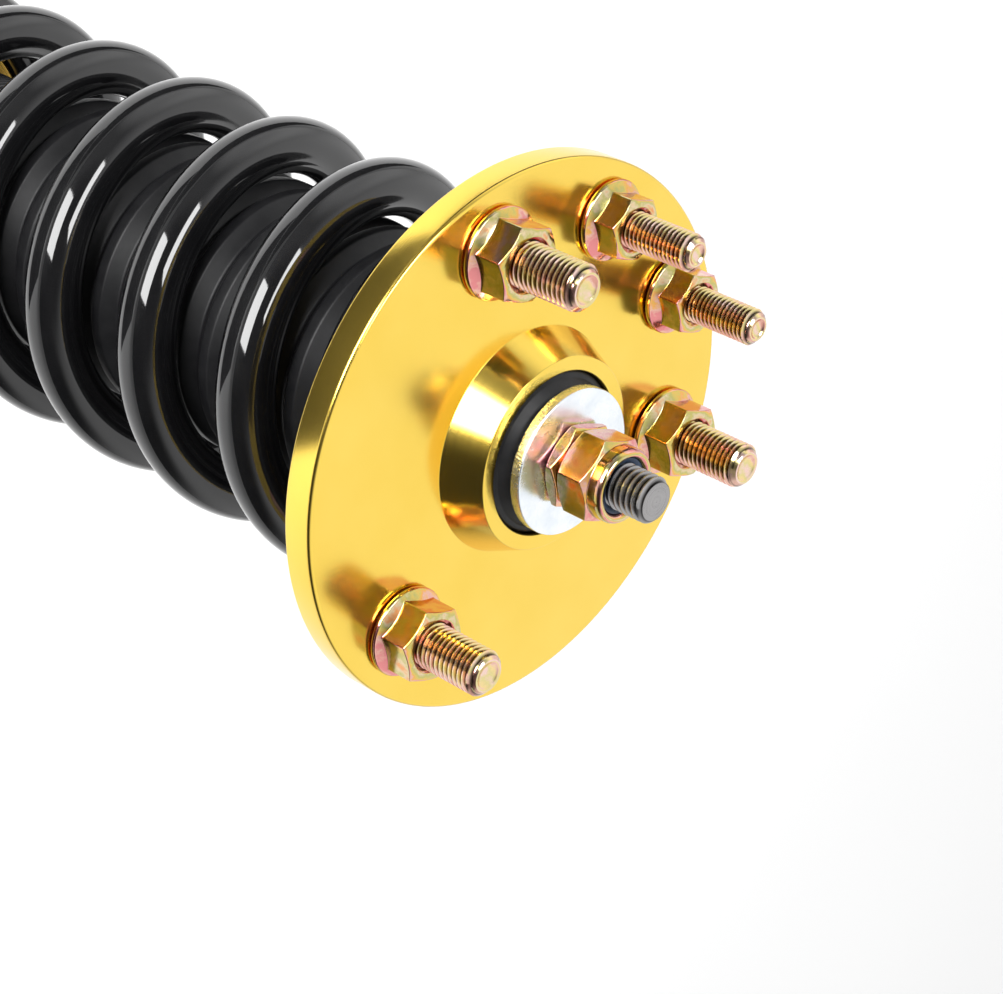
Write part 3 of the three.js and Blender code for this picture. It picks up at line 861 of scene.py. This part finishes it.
# ---- body, collars and lower tube ----------------------------------------------------------------


def make_body():
    body = Size("threaded_body")
    piece = screw("threaded_body_finished", body.radius, BODY_PITCH, body.low, body.high, 1.6, segments=144)
    stand_for(piece, "threaded_body", thread_black())


def castle_points(outer):
    """Points round a collar whose rim is cut by spanner notches with upright, parallel sides."""
    notches, notch_angle = 8, math.radians(17.5)
    floor = outer - NOTCH_DEPTH
    half_width = floor * math.sin(notch_angle / 2)
    step = TURN / notches
    points = []
    for i in range(notches):
        middle = (i + 0.5) * step
        for radius in (outer, floor):
            half = math.asin(half_width / radius)
            if radius == outer:
                start, end = middle - step + half, middle - half
                count = 10
            else:
                start, end = middle - half, middle + half
                count = 5
            points += [(radius * math.cos(start + (end - start) * s / count),
                        radius * math.sin(start + (end - start) * s / count)) for s in range(count + 1)]
    return points


def make_collars():
    """The perch with its hub, and the two flat lock rings."""
    bore = COLLAR_BORE
    perch = Size("perch_collar")
    hub, hub_height = 31.2, 11.0
    seat = perch.high - hub_height
    rim = castle_points(perch.radius)
    rows = [
        circle_beside(rim, bore + 1, perch.low), along(rim, lambda r: perch.low), along(rim, lambda r: seat),
        circle_beside(rim, hub, seat), circle_beside(rim, hub, perch.high - 0.8),
        circle_beside(rim, hub - 0.8, perch.high), circle_beside(rim, bore + 0.8, perch.high),
        circle_beside(rim, bore, perch.high - 0.8), circle_beside(rim, bore, perch.low + 1),
    ]
    stand_for(new_mesh("perch_collar_finished", *joined_rows(rows, True), bevel=0.45), "perch_collar")
    for node in ("perch_lock_ring", "tube_lock_ring"):
        ring = Size(node)
        rim = castle_points(ring.radius)
        lead = 0.9
        rows = [
            circle_beside(rim, bore + lead, ring.low), along(rim, lambda r: ring.low),
            along(rim, lambda r: ring.high), circle_beside(rim, bore + lead, ring.high),
            circle_beside(rim, bore, ring.high - lead), circle_beside(rim, bore, ring.low + lead),
        ]
        stand_for(new_mesh(f"{node}_finished", *joined_rows(rows, True), bevel=0.45), node)


def make_lower_tube():
    tube = Size("lower_tube")
    floor, edge = tube.low + 9.0, 10.0
    piece = turned("lower_tube_finished", [
        (0, tube.low), (tube.radius, tube.low, edge), (tube.radius, tube.high, 0.9),
        (COLLAR_BORE, tube.high, 0.5), (COLLAR_BORE, floor, 2), (0, floor),
    ], segments=192)
    stand_for(piece, "lower_tube")


# ---- stage ---------------------------------------------------------------------------------------


def soft_box(name, azimuth, elevation, distance, width, height, radiance, tilt=0, in_reflections=True):
    """A light panel that faces the origin from that direction, in degrees and metres, and that no
    view shows directly."""
    data = bpy.data.lights.new(name, "AREA")
    data.shape = "RECTANGLE"
    data.size, data.size_y = width, height
    data.energy = math.pi * radiance * width * height
    lamp = bpy.data.objects.new(name, data)
    bpy.context.scene.collection.objects.link(lamp)
    lamp.location = distance * direction(azimuth, elevation)
    facing = lamp.location.to_track_quat("Z", "Y")
    lamp.rotation_euler = (facing @ Euler((0, 0, math.radians(tilt))).to_quaternion()).to_euler()
    lamp.visible_camera = False
    lamp.visible_glossy = in_reflections


def direction(azimuth, elevation):
    turn, lift = math.radians(azimuth), math.radians(elevation)
    return Vector((math.cos(turn) * math.cos(lift), math.sin(turn) * math.cos(lift), math.sin(lift)))


def make_camera():
    forward = direction(CAMERA_AZIMUTH, CAMERA_ELEVATION)
    roll = math.radians(CAMERA_ROLL)
    level_right = forward.cross(Vector((0, 0, 1))).normalized()
    level_up = level_right.cross(forward)
    right = level_right * math.cos(roll) + level_up * math.sin(roll)
    up = right.cross(forward)
    data = bpy.data.cameras.new("camera")
    data.lens = CAMERA_LENS
    data.clip_start, data.clip_end = 0.01, 50
    camera = bpy.data.objects.new("camera", data)
    bpy.context.scene.collection.objects.link(camera)
    turn = Matrix((right, up, -forward)).transposed().to_4x4()
    camera.matrix_world = Matrix.Translation(Vector(CAMERA_PLACE) * MM) @ turn
    bpy.context.scene.camera = camera


def level_sheet(name, x_range, y_range, z, material):
    """A rectangle of the stage that lies level at that height, in metres."""
    (left, right), (near, far) = x_range, y_range
    mesh = bpy.data.meshes.new(name)
    corners = [(left, near, z), (right, near, z), (right, far, z), (left, far, z)]
    mesh.from_pydata(corners, [], [(0, 1, 2, 3)])
    mesh.materials.append(material)
    sheet = bpy.data.objects.new(name, mesh)
    bpy.context.scene.collection.objects.link(sheet)
    return sheet


def floor_height():
    return CAD_BOX[0][2] - FLOOR_DROP * MM


def make_floor():
    sides = (-FLOOR_SIDE / 2, FLOOR_SIDE / 2)
    level_sheet("floor", sides, sides, floor_height(), pale_floor())


def make_sky():
    """The studio's walls: grey, with a broad bright panel, a small one, and two dark stretches."""
    world = bpy.data.worlds.new("studio")
    bpy.context.scene.world = world
    world.use_nodes = True
    tree = world.node_tree
    place = tree.nodes.new("ShaderNodeTexCoord").outputs["Generated"]

    def patch(azimuth, elevation, inner, outer, inside, outside):
        """A level that goes from inside to outside between two angles from a direction."""
        towards = tree.nodes.new("ShaderNodeVectorMath")
        towards.operation = "DOT_PRODUCT"
        tree.links.new(place, towards.inputs[0])
        towards.inputs[1].default_value = direction(azimuth, elevation)
        level = tree.nodes.new("ShaderNodeMapRange")
        level.interpolation_type = "SMOOTHSTEP"
        tree.links.new(towards.outputs["Value"], level.inputs["Value"])
        settings = (math.cos(math.radians(outer)), math.cos(math.radians(inner)), outside, inside)
        for socket, value in zip(("From Min", "From Max", "To Min", "To Max"), settings):
            level.inputs[socket].default_value = value
        return level.outputs["Result"]

    def joined(operation, a, b):
        made = tree.nodes.new("ShaderNodeMath")
        made.operation = operation
        tree.links.new(a, made.inputs[0])
        tree.links.new(b, made.inputs[1])
        return made.outputs[0]

    level = patch(-18, 42, 35, 80, 1.12, 0.32)
    level = joined("MULTIPLY", level, patch(-130, 0, 30, 55, 0.12, 1.0))
    level = joined("MULTIPLY", level, patch(162, 42, 22, 48, 0.30, 1.0))
    level = joined("ADD", level, patch(66, 4, 12, 38, 0.85, 0.0))
    tree.links.new(level, tree.nodes["Background"].inputs["Strength"])
    tree.nodes["Background"].inputs["Color"].default_value = (1, 1, 1, 1)


def make_lights():
    soft_box("left box", azimuth=158, elevation=10, distance=1.6, width=0.95, height=0.85, radiance=14)
    soft_box("top box", azimuth=118, elevation=57, distance=1.6, width=0.9, height=0.45, radiance=14, tilt=20)
    soft_box("floor wash", azimuth=-20, elevation=60, distance=2.2, width=1.6, height=1.6, radiance=1.1,
             in_reflections=False)


def make_cards():
    """Dark cards that lie on the floor for reflections only, and no view shows."""
    look = Look("dark card", (0.03, 0.03, 0.03), 0.9)
    look.rough(look.between(look.noise(5), 0.85, 0.95))
    z = floor_height() + CARD_LIFT * MM
    beside = level_sheet("card_1", (-1.3, -0.22), (-0.22, 0.75), z, look.material)
    behind = level_sheet("card_2", (-1.3, 1.6), (0.78, 3.0), z, look.material)
    for card in (beside, behind):
        card.visible_camera = False
        card.visible_diffuse = False
        card.visible_shadow = False


# ---- everything ----------------------------------------------------------------------------------

bpy.context.scene.view_settings.view_transform = "Standard"
make_camera()
make_floor()
make_sky()
make_lights()
make_cards()
make_plate()
make_studs()
make_flange_nuts()
make_bush()
make_isolators()
make_spring()
make_boot()
make_rod()
make_washer()
make_rod_nuts()
make_body()
make_collars()
make_lower_tube()
for node, solid in frame["nodes"].items():
    solid.data.materials.clear()
    solid.data.materials.append(SLOT_LOOKS[NODE_SLOT[node]])
